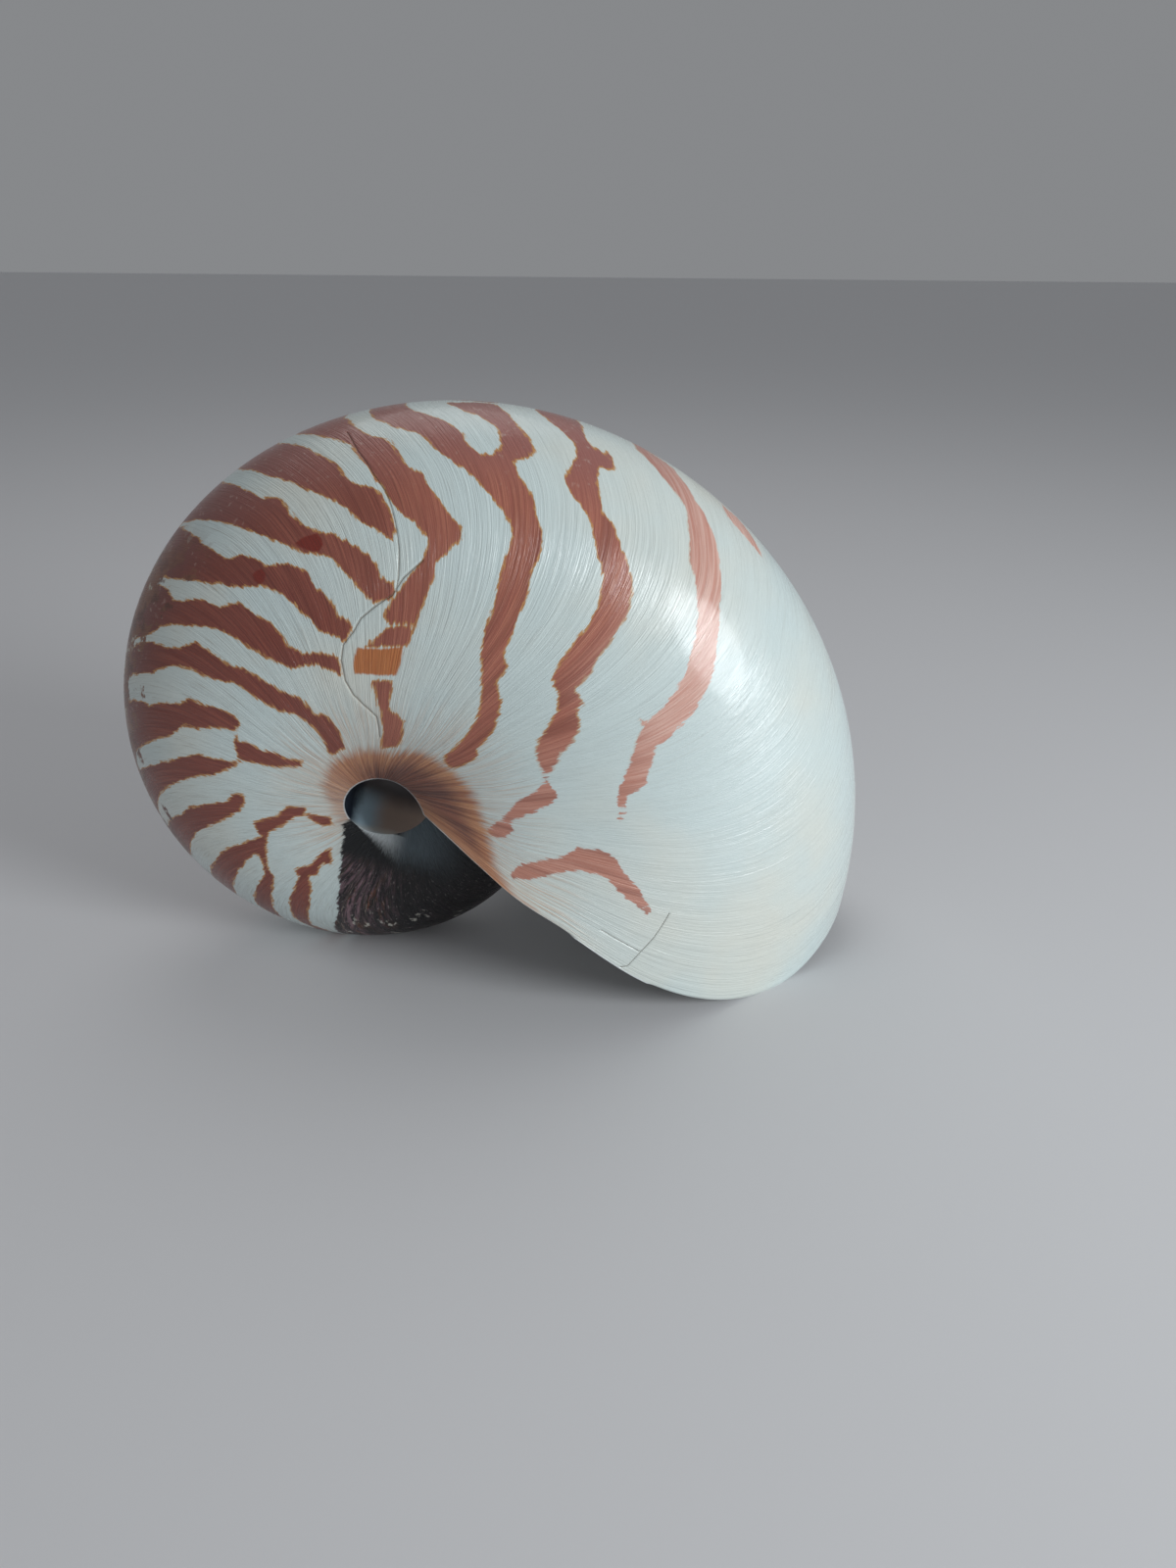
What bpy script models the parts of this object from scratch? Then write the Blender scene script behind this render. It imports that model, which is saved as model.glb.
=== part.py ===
"""A chambered nautilus shell, resting on the belly of its coil and on both sides of its lip.

The shell grows as a logarithmic spiral: every growth line is the same curve, turned about the
coil's axis and scaled. The axis lies along Y, the shell is symmetric about the XZ plane, and
the mouth opens towards +X and down.
"""

import math

import bmesh
import bpy
from mathutils import Vector
from mathutils.geometry import interpolate_bezier

# Driving sizes, in metres and degrees
LIP_RADIUS = 0.109
GROWTH_PER_TURN = 3.15
LIP_DIRECTION = -26.4
COIL_CENTRE = Vector((-0.0222, 0.0, 0.0428))
WALL = 0.0016
FILM_STEP = 0.0003

# Whorl section, as shares of the keel's distance from the axis
HALF_BREADTH = 0.366
WIDEST_AT = 0.430
RIM_AT = 0.038
RIM_BREADTH = 0.246
KEEL_HANDLE = 0.216
SHOULDER_HANDLE = 0.266
FLANK_HANDLE = 0.237
RIM_HANDLE = Vector((0.026, 0.065))

# Growth line: share of the way from keel to umbilicus, and how far ahead it runs, in degrees
GROWTH_LINE = (
    (0.00, -10.0),
    (0.12, -5.0),
    (0.25, 1.2),
    (0.40, 5.2),
    (0.55, 5.9),
    (0.70, 2.7),
    (0.82, -2.3),
    (0.92, -20.0),
    (1.00, -57.0),
)

# Living chamber, in degrees of growth behind the lip
CHAMBER_LENGTH = 130.0
SEPTUM_DEPTH = 22.0
CUT_BEYOND_LIP = 18.0
CHAMBER_END = 0.985

# Hollow at each umbilicus, where the lip arches over the coil
HOLLOW_CENTRE = Vector((-0.0010, -0.0210, -0.0034))
HOLLOW_RADII = Vector((0.0096, 0.0160, 0.0096))

# Fineness of the solids
TURN_STEP = 6.0
FLANK_POINTS = 18
SEPTUM_RINGS = 4
CURVE_POINTS = 48
UMBILICUS_DEPTH = 0.011

SHELL_COLOUR = (0.74, 0.70, 0.64, 1.0)


def clear_scene():
    for thing in list(bpy.data.objects):
        bpy.data.objects.remove(thing, do_unlink=True)


def new_collection(name):
    made = bpy.data.collections.new(name)
    bpy.context.scene.collection.children.link(made)
    return made


def shell_material():
    made = bpy.data.materials.new("porcelain shell")
    made.use_nodes = True
    shader = made.node_tree.nodes["Principled BSDF"]
    shader.inputs["Base Color"].default_value = SHELL_COLOUR
    shader.inputs["Roughness"].default_value = 0.3
    shader.inputs["Metallic"].default_value = 0.0
    return made


def flank_curve():
    """Points of one side of the whorl's section, keel first, as (distance from axis, breadth)."""
    keel = Vector((1.0, 0.0))
    widest = Vector((WIDEST_AT, HALF_BREADTH))
    rim = Vector((RIM_AT, RIM_BREADTH))
    outer = interpolate_bezier(
        keel,
        keel + Vector((0.0, KEEL_HANDLE)),
        widest + Vector((SHOULDER_HANDLE, 0.0)),
        widest,
        CURVE_POINTS,
    )
    inner = interpolate_bezier(
        widest,
        widest - Vector((FLANK_HANDLE, 0.0)),
        rim + RIM_HANDLE,
        rim,
        CURVE_POINTS,
    )
    return outer + inner[1:]


def walk(curve, share):
    """Point and outward direction at this share of the curve's length."""
    lengths = [(b - a).length for a, b in zip(curve, curve[1:])]
    left = share * sum(lengths)
    for start, end, length in zip(curve, curve[1:], lengths):
        if left <= length or end is curve[-1]:
            along = (end - start).normalized()
            return start + along * min(left, length), Vector((-along.y, along.x)) * -1.0
        left -= length


def ahead(share):
    """How far ahead of the reference direction the growth line runs, smoothed between its points."""
    places = [place for place, _ in GROWTH_LINE]
    angles = [angle for _, angle in GROWTH_LINE]
    last = len(places) - 1
    slopes = [0.0]
    for i in range(1, last):
        slopes.append((angles[i + 1] - angles[i - 1]) / (places[i + 1] - places[i - 1]))
    slopes.append((angles[last] - angles[last - 1]) / (places[last] - places[last - 1]))
    i = max(k for k in range(last) if places[k] <= share)
    span = places[i + 1] - places[i]
    t = (share - places[i]) / span
    return (
        angles[i] * (1 + 2 * t) * (1 - t) ** 2
        + slopes[i] * span * t * (1 - t) ** 2
        + angles[i + 1] * t * t * (3 - 2 * t)
        + slopes[i + 1] * span * t * t * (t - 1)
    )


FLANK = flank_curve()


def growth_ring(turn, offset=0.0, reach=1.0):
    """Points of one growth line from umbilicus to umbilicus, moved outwards by the offset."""
    ring = []
    for step in range(1 - FLANK_POINTS, FLANK_POINTS):
        share = reach * abs(step) / (FLANK_POINTS - 1)
        side = 1.0 if step > 0 else -1.0
        place, outward = walk(FLANK, share)
        growth = turn + ahead(share)
        size = LIP_RADIUS * GROWTH_PER_TURN ** (growth / 360.0)
        from_axis, breadth = place * size + outward * offset
        if step == 0:
            breadth = 0.0
        angle = math.radians(LIP_DIRECTION - growth)
        across = Vector((from_axis * math.cos(angle), side * breadth, from_axis * math.sin(angle)))
        ring.append(COIL_CENTRE + across)
    return ring


def add_strip(mesh, first, second):
    for a, b, c, d in zip(first, first[1:], second[1:], second):
        mesh.faces.new((a, b, c, d))


def object_from(mesh, name, collection):
    bmesh.ops.remove_doubles(mesh, verts=mesh.verts, dist=1e-6)
    bmesh.ops.recalc_face_normals(mesh, faces=mesh.faces)
    data = bpy.data.meshes.new(name)
    mesh.to_mesh(data)
    mesh.free()
    made = bpy.data.objects.new(name, data)
    collection.objects.link(made)
    return made


def last_whorl(collection):
    """The outer form: one whole turn of growth lines, closed across the mouth and both umbilici."""
    mesh = bmesh.new()
    steps = round(360.0 / TURN_STEP)
    rings = []
    for step in range(steps + 1):
        points = growth_ring(-360.0 + step * TURN_STEP)
        rings.append([mesh.verts.new(point) for point in points])
    for older, newer in zip(rings, rings[1:]):
        add_strip(mesh, older, newer)
    add_strip(mesh, rings[-1], rings[0])
    for end, side in ((0, -1.0), (-1, 1.0)):
        pit = mesh.verts.new(COIL_CENTRE + Vector((0.0, side * UMBILICUS_DEPTH, 0.0)))
        rim = [ring[end] for ring in rings]
        for a, b in zip(rim, rim[1:] + rim[:1]):
            mesh.faces.new((a, b, pit))
    return object_from(mesh, "shell", collection)


def chamber_ring(turn, spread):
    """Outer and inner points of the living chamber, drawn together as the spread falls to nought."""
    outer = growth_ring(turn, -WALL, CHAMBER_END)
    inner = growth_ring(turn - 360.0, FILM_STEP, CHAMBER_END)
    shut = (1.0 - spread) / 2.0
    return (
        [a.lerp(b, shut) for a, b in zip(outer, inner)],
        [b.lerp(a, shut) for a, b in zip(outer, inner)],
    )


def chamber_stations():
    """Growth and spread of each ring of the chamber, from the middle of the last septum to the mouth."""
    for ring in range(SEPTUM_RINGS):
        angle = math.radians(90.0 * (1.0 - ring / SEPTUM_RINGS))
        yield -CHAMBER_LENGTH - SEPTUM_DEPTH * math.sin(angle), math.cos(angle)
    steps = round((CHAMBER_LENGTH + CUT_BEYOND_LIP) / TURN_STEP)
    for step in range(steps + 1):
        yield -CHAMBER_LENGTH + step * (CHAMBER_LENGTH + CUT_BEYOND_LIP) / steps, 1.0


def living_chamber(collection):
    mesh = bmesh.new()
    rings = []
    for turn, spread in chamber_stations():
        outer, inner = chamber_ring(turn, spread)
        points = outer + inner[::-1] + outer[:1]
        rings.append([mesh.verts.new(point) for point in points])
    for older, newer in zip(rings, rings[1:]):
        add_strip(mesh, older, newer)
    mouth = rings[-1]
    half = len(mouth) // 2
    add_strip(mesh, mouth[:half], mouth[-2 : half - 1 : -1])
    return object_from(mesh, "living chamber cutter", collection)


def move_to(made, name, collection):
    for holder in made.users_collection:
        holder.objects.unlink(made)
    collection.objects.link(made)
    made.name = name


def umbilical_hollow(side, collection):
    centre = COIL_CENTRE + HOLLOW_CENTRE * Vector((1.0, side, 1.0))
    bpy.ops.mesh.primitive_uv_sphere_add(segments=28, ring_count=14, radius=1.0, location=centre)
    made = bpy.context.object
    made.scale = HOLLOW_RADII
    move_to(made, "hollow cutter", collection)
    return made


def resting_plane(collection):
    """A block whose top is the surface the shell rests on, which wears its lowest points flat."""
    side = 4.0 * LIP_RADIUS
    bpy.ops.mesh.primitive_cube_add(size=side, location=(0.0, 0.0, -side / 2.0))
    made = bpy.context.object
    move_to(made, "rest cutter", collection)
    return made


def cut(solid, cutter):
    cutter.hide_render = True
    cutter.display_type = "WIRE"
    modifier = solid.modifiers.new(cutter.name, "BOOLEAN")
    modifier.operation = "DIFFERENCE"
    modifier.solver = "EXACT"
    modifier.object = cutter


def main():
    clear_scene()
    shell_parts = new_collection("nautilus shell")
    cutters = new_collection("cutters")
    shell = last_whorl(shell_parts)
    shell.data.materials.append(shell_material())
    cut(shell, living_chamber(cutters))
    for side in (1.0, -1.0):
        cut(shell, umbilical_hollow(side, cutters))
    cut(shell, resting_plane(cutters))
    shell.data.shade_smooth()


main()
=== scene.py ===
"""Looks of the nautilus shell: its flamed porcelain outside, its nacre and the dark film in its mouth."""

import math

import bpy
import numpy as np
from mathutils import Matrix, Vector
from mathutils.bvhtree import BVHTree
from mathutils.geometry import interpolate_bezier


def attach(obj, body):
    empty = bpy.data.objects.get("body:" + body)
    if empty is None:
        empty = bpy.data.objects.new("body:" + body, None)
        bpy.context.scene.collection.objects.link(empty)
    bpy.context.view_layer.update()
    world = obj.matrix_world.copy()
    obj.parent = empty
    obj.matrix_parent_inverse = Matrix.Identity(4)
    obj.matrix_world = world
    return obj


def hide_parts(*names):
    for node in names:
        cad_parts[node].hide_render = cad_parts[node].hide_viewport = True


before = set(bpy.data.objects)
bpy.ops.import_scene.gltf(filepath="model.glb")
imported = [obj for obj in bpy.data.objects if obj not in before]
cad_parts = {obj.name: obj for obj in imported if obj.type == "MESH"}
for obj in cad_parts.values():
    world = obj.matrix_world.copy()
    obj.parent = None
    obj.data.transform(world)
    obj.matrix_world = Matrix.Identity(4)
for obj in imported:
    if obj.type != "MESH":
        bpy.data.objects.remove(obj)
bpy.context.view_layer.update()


def paint(red, green, blue):
    """A colour given as on a screen, 0 to 255, as the linear colour that shaders use."""
    parts = []
    for part in (red, green, blue):
        part /= 255.0
        parts.append(part / 12.92 if part <= 0.04045 else ((part + 0.055) / 1.055) ** 2.4)
    return (*parts, 1.0)


# Spiral of the shell, in metres and degrees, as in the solids
LIP_RADIUS = 0.109
GROWTH_PER_TURN = 3.15
LIP_DIRECTION = -26.4
COIL_CENTRE = Vector((-0.0222, 0.0, 0.0428))
WALL = 0.0016
FILM_STEP = 0.0003

# Whorl section, as shares of the keel's distance from the axis
HALF_BREADTH = 0.366
WIDEST_AT = 0.430
RIM_AT = 0.038
RIM_BREADTH = 0.246
KEEL_HANDLE = 0.216
SHOULDER_HANDLE = 0.266
FLANK_HANDLE = 0.237
RIM_HANDLE = Vector((0.026, 0.065))

# Growth line: share of the way from keel to umbilicus, and how far ahead it runs, in degrees
GROWTH_LINE = (
    (0.00, -10.0),
    (0.12, -5.0),
    (0.25, 1.2),
    (0.40, 5.2),
    (0.55, 5.9),
    (0.70, 2.7),
    (0.82, -2.3),
    (0.92, -20.0),
    (1.00, -57.0),
)

# Living chamber, in degrees of growth behind the lip, and umbilical hollows, in metres
CHAMBER_LENGTH = 130.0
SEPTUM_DEPTH = 22.0
CUT_BEYOND_LIP = 18.0
CHAMBER_END = 0.985
HOLLOW_CENTRE = Vector((-0.0010, -0.0210, -0.0022))
HOLLOW_RADII = Vector((0.0096, 0.0160, 0.0082))
HOLLOW_TILT = math.radians(14.0)
UMBILICUS_DEPTH = 0.011

# Fineness of the modelled shell, turns in degrees
CURVE_POINTS = 300
ACROSS = 84
TURN_STEP = 1.0
CHAMBER_ACROSS = 84
CHAMBER_RING = 2 * (CHAMBER_ACROSS + 1)
CHAMBER_STEP = 2.0
SEPTUM_RINGS = 10
HOLLOW_SEGMENTS = 96
WELD_DISTANCE = 1e-6

# Rounded lip: degrees behind the lip, and how far in from the full surface
LIP_EDGE = ((0.0, -0.0008), (-0.08, -0.00035), (-0.25, -0.0001), (-0.5, 0.0), (-1.0, 0.0))

# Camera, from the photograph's view of the outline
AZIMUTH = -3.5
ELEVATION = 26.0
ROLL = 0.7
DISTANCE = 0.2595
AIM_RIGHT = 0.0409
AIM_UP = -0.0044
LENS = 27.0
SENSOR = 36.0

# Reading places from the photograph, in its pixels. A pixel past the outline is nudged by this share of
# the way to the shell's middle, until the ray through it meets the shell
PHOTO_WIDTH = 1200
PHOTO_HEIGHT = 1600
SHELL_MIDDLE = (470, 700)
NUDGE = 0.006

# How far outlines run on past the keel, the umbilicus, the lip and the oldest surface that shows
OVER_KEEL = 0.08
PAST_UMBILICUS = 1.1
AHEAD_OF_LIP = 6.0
OLDEST_LINE = -900.0

# The newest growth line that a point is taken to lie on, in degrees from the lip
NEWEST_LINE = 4.0

# Metres put between the far side and a marking that only the near side has
FAR_OFF = 1.0
MM_PER_METRE = 1000.0

# What stands for no length at all, squared
NOUGHT = 1e-12

# Flames that cross the keel, each from the shell's outline inwards and back to it
KEEL_FLAMES = {
    "sliver by the lip": (
        (736, 515), (752, 528), (766, 545), (780, 572), (771, 561), (757, 544), (744, 530),
    ),
    "second": (
        (648, 452), (649, 458), (662, 470), (678, 489), (692, 506), (700, 519), (702, 539), (703, 572),
        (710, 596), (712, 622), (708, 655), (698, 688), (678, 718), (662, 735), (650, 733), (656, 741),
        (650, 753), (645, 772), (638, 787), (632, 802), (629, 814), (630, 825), (633, 831), (628, 838),
        (632, 842), (640, 831), (637, 826), (640, 820), (643, 810), (657, 804), (663, 787), (668, 774),
        (668, 762), (680, 757), (689, 747), (701, 735), (718, 712), (728, 688), (732, 655), (735, 622),
        (736, 589), (732, 556), (725, 536), (712, 514), (703, 499), (685, 476), (669, 463), (664, 461),
    ),
    "third": (
        (546, 416), (549, 420), (561, 430), (579, 445), (589, 456), (587, 468), (576, 486), (582, 503),
        (599, 523), (606, 543), (609, 562), (615, 582), (614, 606), (606, 629), (586, 655), (566, 685),
        (564, 698), (571, 708), (568, 728), (556, 745), (549, 757), (547, 772), (552, 785), (556, 797),
        (550, 805), (527, 816), (519, 826), (509, 837), (495, 846), (502, 855), (518, 854), (526, 847),
        (520, 839), (535, 833), (546, 829), (563, 820), (571, 812), (560, 799), (560, 791), (569, 779),
        (571, 770), (586, 755), (592, 739), (587, 725), (596, 717), (586, 703), (602, 688), (609, 672),
        (629, 645), (642, 622), (645, 602), (642, 579), (632, 556), (625, 533), (614, 526), (610, 499),
        (609, 476), (619, 478), (627, 480), (622, 461), (609, 461), (599, 450), (594, 433), (590, 429),
    ),
    "fourth": (
        (378, 417), (380, 426), (400, 435), (430, 443), (446, 460), (466, 473), (486, 489), (503, 509),
        (519, 529), (524, 549), (516, 569), (508, 596), (503, 622), (494, 642), (491, 665), (491, 688),
        (491, 712), (486, 736), (472, 755), (453, 772), (454, 778), (462, 785), (486, 773), (486, 766),
        (493, 757), (503, 748), (508, 732), (511, 715), (506, 698), (518, 680), (513, 672), (519, 655),
        (526, 635), (539, 606), (542, 582), (551, 566), (554, 546), (546, 523), (542, 503), (529, 486),
        (523, 471), (533, 470), (546, 461), (542, 450), (529, 436), (519, 423), (506, 412), (456, 411),
        (470, 418), (493, 426), (509, 440), (513, 453), (506, 463), (489, 465), (479, 456), (470, 440),
        (446, 426), (424, 420), (416, 411),
    ),
    "fifth": (
        (303, 443), (333, 446), (357, 454), (368, 468), (384, 489), (397, 508), (408, 523), (421, 531),
        (435, 545), (436, 559), (431, 572), (416, 591), (405, 606), (392, 627), (395, 636), (425, 635),
        (432, 615), (440, 594), (446, 575), (456, 564), (470, 551), (471, 539), (460, 527), (448, 511),
        (438, 497), (430, 482), (416, 476), (408, 465), (397, 449), (384, 446), (368, 441), (354, 424),
    ),
    "sixth": (
        (247, 479), (271, 485), (296, 492), (322, 503), (349, 516), (368, 532), (384, 541), (400, 551),
        (403, 540), (397, 521), (389, 505), (379, 497), (365, 496), (354, 488), (341, 473), (322, 462),
        (304, 454), (284, 452),
    ),
    "seventh": (
        (190, 533), (221, 532), (250, 540), (279, 551), (309, 564), (336, 568), (349, 580), (365, 599),
        (381, 616), (397, 611), (404, 604), (399, 594), (389, 591), (384, 575), (371, 563), (354, 553),
        (341, 544), (328, 545), (309, 536), (296, 524), (285, 508), (266, 508), (250, 500), (227, 492),
    ),
    "eighth": (
        (160, 588), (178, 591), (207, 595), (242, 599), (271, 598), (293, 610), (309, 626), (328, 644),
        (352, 655), (359, 640), (354, 632), (346, 631), (336, 612), (322, 599), (312, 583), (293, 575),
        (271, 578), (250, 565), (234, 571), (218, 564), (204, 551), (184, 536),
    ),
    "ninth": (
        (138, 652), (154, 647), (164, 639), (194, 638), (226, 643), (250, 658), (271, 671), (298, 682),
        (320, 678), (348, 689), (345, 671), (330, 667), (309, 667), (293, 658), (277, 636), (261, 628),
        (245, 614), (223, 620), (207, 612), (178, 614), (170, 600), (152, 596),
    ),
    "tenth": (
        (131, 690), (154, 687), (175, 679), (194, 682), (215, 693), (242, 698), (263, 714), (285, 725),
        (304, 730), (322, 744), (333, 760), (336, 772), (352, 764), (346, 746), (333, 730), (320, 728),
        (309, 715), (288, 706), (266, 693), (247, 682), (234, 679), (215, 666), (199, 655), (183, 662),
        (170, 661), (150, 655), (131, 664),
    ),
    "eleventh": (
        (137, 772), (153, 757), (174, 751), (187, 740), (200, 743), (220, 742), (240, 745), (245, 739),
        (241, 731), (224, 724), (209, 720), (194, 713), (183, 718), (153, 720), (136, 714),
    ),
    "twelfth": (
        (152, 829), (161, 816), (172, 803), (192, 794), (218, 791), (237, 783), (245, 777), (237, 777),
        (222, 775), (202, 770), (176, 776), (157, 781), (138, 789),
    ),
    "thirteenth": (
        (188, 872), (192, 874), (195, 861), (200, 850), (211, 844), (228, 837), (245, 827), (250, 818),
        (248, 810), (239, 811), (231, 819), (211, 821), (194, 824), (185, 831), (166, 846),
    ),
    "fourteenth": (
        (236, 914), (240, 896), (246, 885), (257, 874), (263, 870), (268, 880), (271, 893), (261, 909),
        (262, 922), (270, 932), (288, 940), (278, 920), (278, 907), (280, 894), (274, 888), (272, 874),
        (274, 850), (289, 842), (300, 834), (311, 832), (311, 824), (293, 823), (283, 833), (272, 835),
        (259, 840), (267, 854), (261, 856), (246, 861), (231, 866), (220, 879), (213, 894),
    ),
    "fifteenth": (
        (314, 951), (304, 939), (296, 918), (300, 909), (306, 894), (300, 888), (319, 881), (328, 870),
        (339, 865), (337, 870), (339, 881), (328, 881), (324, 892), (315, 894), (318, 907), (316, 924),
        (319, 944), (330, 953),
    ),
}

# Flames that end short of the keel
SIDE_FLAMES = {
    "patch by the lip": (
        (520, 892), (525, 886), (533, 880), (554, 877), (577, 873), (588, 864), (615, 867), (628, 875),
        (636, 888), (649, 903), (657, 915), (666, 929), (662, 935), (647, 923), (630, 909), (619, 896),
        (603, 891), (586, 889), (567, 892), (547, 897), (523, 898),
    ),
    "in the scar": ((398, 640), (412, 638), (424, 637), (415, 659), (394, 660), (370, 660), (384, 651)),
    "below the scar": (
        (379, 695), (401, 695), (397, 725), (412, 736), (407, 762), (389, 764), (389, 727), (384, 711),
    ),
    "end of the eleventh": (
        (241, 743), (239, 758), (244, 775), (267, 780), (280, 783), (306, 783), (309, 776), (293, 775),
        (280, 768), (267, 766), (252, 757), (243, 757),
    ),
    "end of the fourteenth": ((309, 829), (324, 832), (337, 834), (340, 842), (328, 842), (317, 836)),
}

# Outer edge of the tan callus where the lip arches over the coil, and of its narrow band along the lip
CALLUS_FAN = (
    (345, 845), (334, 822), (326, 802), (330, 786), (342, 772), (362, 764), (402, 766), (434, 766),
    (452, 777), (468, 789), (487, 810), (494, 831), (503, 858), (507, 882), (526, 912), (549, 930),
)

# Edge of the dark film on the coil, from the hollow down to the keel
FILM_EDGE = ((352, 838), (351, 855), (349, 880), (347, 905), (346, 930), (344, 952))

# Ridge under the hollow: its left end as the camera sees it, its slant in degrees, and the millimetres
# that a pixel covers there
RIDGE_TIP = (365.5, 843.0)
RIDGE_SLANT = 14.0
MM_PER_PIXEL = 0.2

# Share from which the lip's edge is worn pale
LIP_RIM_FROM = 0.3

# Amber patch inside the healed scar, and two dark spots
SCAR_PATCH = (
    (364, 661), (388, 662), (413, 660), (409, 676), (404, 690), (384, 689), (361, 688), (360, 676),
)
DARK_SPOTS = (
    ((300, 556), (309, 549), (326, 544), (329, 556), (324, 564), (312, 560)),
    ((258, 586), (266, 580), (271, 586), (268, 596), (261, 595)),
)

# How near to the cracks the mesh is cut finer, one cut after another, and then set on the true surface;
# and how deep they are, all in metres. Their spread is in half widths
CRACK_REACH = (0.0034, 0.0018, 0.0010)
CRACK_SETTLED = 0.0068
CRACK_DEPTH = 0.00014
CRACK_SPREAD = 1.3

# How the far side's flames stray from the near side's, in degrees, and the share from which in full
FAR_STRAY = 3.5
FAR_WAVE = 17.0
FULL_STRAY_FROM = 0.5

# Cracks and seams in the surface, as runs of pixels, and half their width in millimetres
HAIRLINES = (
    (0.16, (
        (354, 441), (365, 460), (381, 484), (395, 505), (403, 532), (407, 561), (406, 591), (404, 603),
    )),
    (0.22, (
        (431, 572), (411, 590), (400, 607), (381, 620), (368, 631), (360, 645), (350, 658), (348, 674),
        (352, 695), (360, 709), (371, 720), (384, 732), (387, 752),
    )),
    (0.11, ((683, 932), (667, 957), (653, 972), (640, 986), (636, 992))),
    (0.09, ((613, 949), (634, 961), (652, 971))),
)

# Ground of the outside
WHITES = (paint(212, 226, 225), paint(222, 225, 216))
GREY_LINE = paint(190, 196, 190)
OLD_RAY = paint(150, 134, 112)
CALLUS_HALO = paint(206, 166, 136)
WORN_RIM = paint(206, 212, 214)
CRACK_LINE = paint(140, 118, 98)

# Flames, from the lip backwards, each in a darker and a lighter tone along the fine growth lines
NEWEST_BROWNS = (paint(190, 128, 110), paint(212, 156, 138))
NEWER_BROWNS = (paint(166, 98, 82), paint(188, 120, 98))
OLDER_BROWNS = (paint(126, 62, 52), paint(150, 82, 66))
# Salmon of the newest flames by the keel: partly faded colour, partly painted highlight
FADED_AND_HIGHLIT_SALMONS = (paint(208, 152, 136), paint(232, 194, 180))
BROAD_BROWN = paint(120, 60, 48)
KEEL_BROWNS = (paint(160, 104, 96), paint(124, 72, 66))
KEEL_DUST = paint(198, 170, 160)
OCHRE_FRINGE = paint(196, 142, 84)

# Mottled band along the keel of the oldest growth, healed scar and dark spots
BAND_BROWNS = (paint(104, 62, 50), paint(134, 88, 66))
BAND_CHALK = paint(190, 184, 166)
SCAR_AMBERS = (paint(176, 98, 52), paint(204, 132, 78))
DARK_RUST = paint(126, 40, 26)

# Callus, between its darker rays and on them
TANS = (paint(210, 152, 110), paint(166, 104, 74))
DEEP_TANS = (paint(158, 96, 74), paint(98, 54, 44))

# Dark film, its streaks in a dark and a light tone
FILM_MAUVES = (paint(18, 12, 18), paint(134, 106, 114))
FILM_RUSTS = (paint(16, 12, 12), paint(128, 80, 58))
FILM_FOLD = paint(17, 14, 17)
FILM_CREASE = paint(176, 158, 146)
FILM_INNER = paint(15, 14, 17)
FILM_FLECK = paint(188, 180, 176)
FILM_WORN = paint(204, 200, 190)
FILM_SHADOW = paint(15, 17, 21)
# Painted highlight on the pearly wedge: bright by the ridge's left end, then a dim blue-grey painted sheen
WEDGE_HIGHLIGHT_GREYS = (paint(232, 240, 242), paint(92, 106, 114))

# Nacre
PEARL_PLAIN = paint(221, 221, 217)
PEARL_ROSES = (paint(214, 222, 226), paint(232, 210, 206))
PEARL_GREEN = paint(196, 218, 206)
NACRE_GREY = paint(204, 200, 196)

# Hollow
HOLLOW_GREYS = (paint(190, 216, 230), paint(196, 172, 158))
# Painted shade on the hollow's roof, under the arch of the lip
HOLLOW_ROOF_SHADE = paint(92, 86, 86)
HOLLOW_BLACK = paint(18, 28, 42)
# Pale nacre of the ridge, with a painted highlight where its crest catches the light
HOLLOW_RIDGE_HIGHLIGHT = paint(228, 226, 218)

# Floor
FLOOR_GREY = paint(222, 222, 224)

# Growth lines from which to which a look comes in, in degrees from the lip
FRESH = (-70.0, -45.0)
FADED_AND_HIGHLIT = (-80.0, -60.0)
OLDER = (-95.0, -150.0)
OLDER_KEEL = (-110.0, -160.0)
OLD_RAYS = (-70.0, -160.0)
BAND_BEGINS = (-142.0, -158.0)
BAND_ENDS = (-238.0, -222.0)
CALLUS_DEEPENS = (-190.0, -110.0)
CALLUS_THICKENS = (-235.0, -150.0)
PEARL_SHOWS = (-372.0, -395.0)

# Shares of the way from keel to umbilicus, in the same manner
DUSTY_KEEL = (0.3, 0.12)
FADED_AND_HIGHLIT_FLANK = (0.62, 0.46)
BAND_WIDTH = (0.17, 0.14)
BESIDE_KEEL = (0.35, 0.5)

# Distances from an edge, below nought inside it, in millimetres, in the same manner
FLAME_INSIDE = (0.0, -0.3)
FRINGE_REACH = (0.32, 0.0)
SCAR_INSIDE = (0.2, -0.3)
SPOT_INSIDE = (0.3, -0.1)
HALO_REACH = (15.0, 0.0)
CALLUS_INSIDE = (0.9, -2.2)
CALLUS_DEEP = (-1.5, -6.5)
FILM_INSIDE = (0.15, -0.15)
FILM_BLACKENS = (1.0, -10.0)
RIM_REACH = (0.34, 0.14)

# Heights in metres from which to which the film by the floor is worn
FILM_WEAR = (0.016, 0.006)

# Edges bent more than this stay sharp
SHARP = math.radians(38.0)

# Stage: the floor, the place, size, watts and tone of each light, and the pale room around
FLOOR_SIDE = 6.0
LIGHT_AIM = Vector((0.01, 0.0, 0.05))
LIGHTS = {
    "key": ((0.54, -0.42, 0.28), 0.28, 3.0, (0.94, 0.98, 1.0)),
    "fill": ((-0.45, -0.50, 0.35), 0.6, 0.1, (1.0, 0.98, 0.96)),
    "top": ((-0.05, 0.30, 0.65), 0.5, 0.6, (1.0, 1.0, 1.0)),
}
ROOM_TONE = (0.78, 0.80, 0.83, 1.0)
ROOM_STRENGTH = 0.31


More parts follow.
